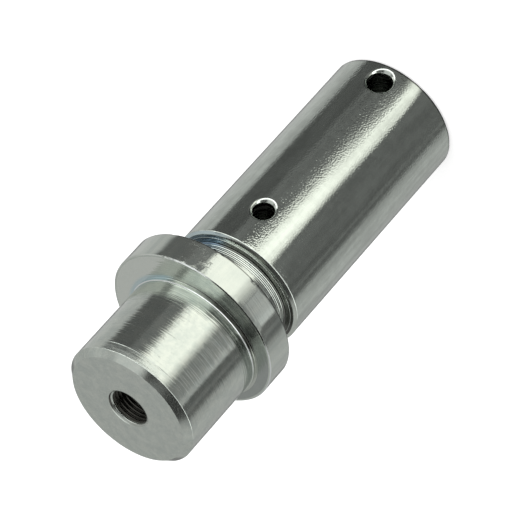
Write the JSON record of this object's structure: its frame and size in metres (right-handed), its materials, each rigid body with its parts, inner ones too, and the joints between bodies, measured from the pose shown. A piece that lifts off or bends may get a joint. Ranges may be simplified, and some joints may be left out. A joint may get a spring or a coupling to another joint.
{
  "type": "tie rod pin",
  "caption": "Turned steel tie rod pin: a chamfered nose with a tapped end hole, an off-centre collar, a relieved neck and a long shank with countersunk cross holes.",
  "frame": {"origin": "centre of the shank's end face, which the pin stands on", "axes": "+Z along the pin's axis from the shank's free end to the nose; the cross holes run along Y and the collar stands off the axis towards -Y"},
  "size_m": [0.0413, 0.0413, 0.1022],
  "materials": {
    "zinc_plated_steel": "bright zinc plating over fine turning marks"
  },
  "bodies": {
    "root": {"tie_rod_pin": "zinc_plated_steel"}
  },
  "joints": []
}
